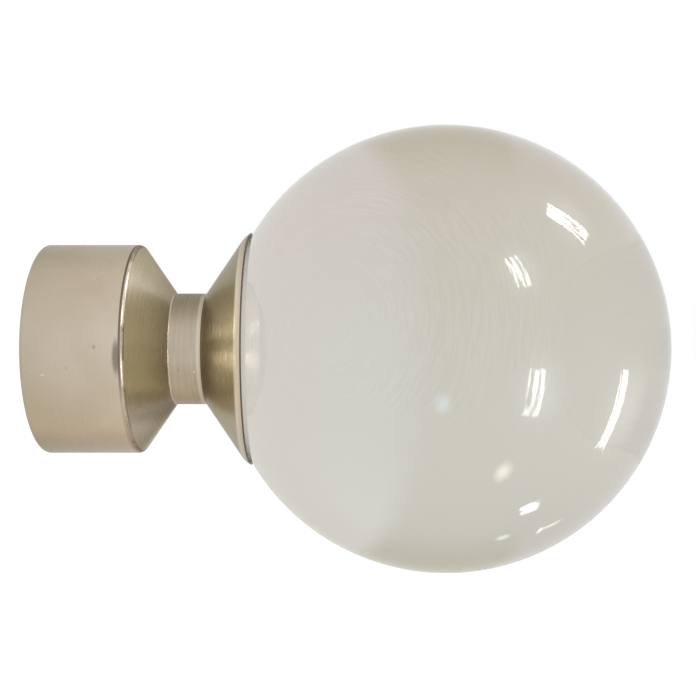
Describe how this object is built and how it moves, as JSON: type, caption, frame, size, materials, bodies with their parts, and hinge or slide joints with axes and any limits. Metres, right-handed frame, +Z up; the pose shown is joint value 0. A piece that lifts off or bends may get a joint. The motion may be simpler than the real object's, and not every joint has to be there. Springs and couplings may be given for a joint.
{
  "type": "curtain pole finial",
  "caption": "Clear ball finial on a waisted satin nickel collar whose socket slides over the end of a curtain pole.",
  "frame": {"origin": "centre of the stop inside the socket, where the end of the pole comes to rest", "axes": "+X along the pole's axis from the pole out to the ball, +Z up, +Y the side with the set screw, away from the room"},
  "size_m": [0.0973, 0.07, 0.07],
  "materials": {
    "satin_nickel": "satin champagne nickel plating",
    "clear_acrylic": "polished, faintly warm and milky",
    "plated_steel": "zinc plated"
  },
  "bodies": {
    "root": {"collar": "satin_nickel", "ball": "clear_acrylic", "fixing_screw": "plated_steel", "lock_washer": "plated_steel", "set_screw": "plated_steel"}
  },
  "joints": []
}
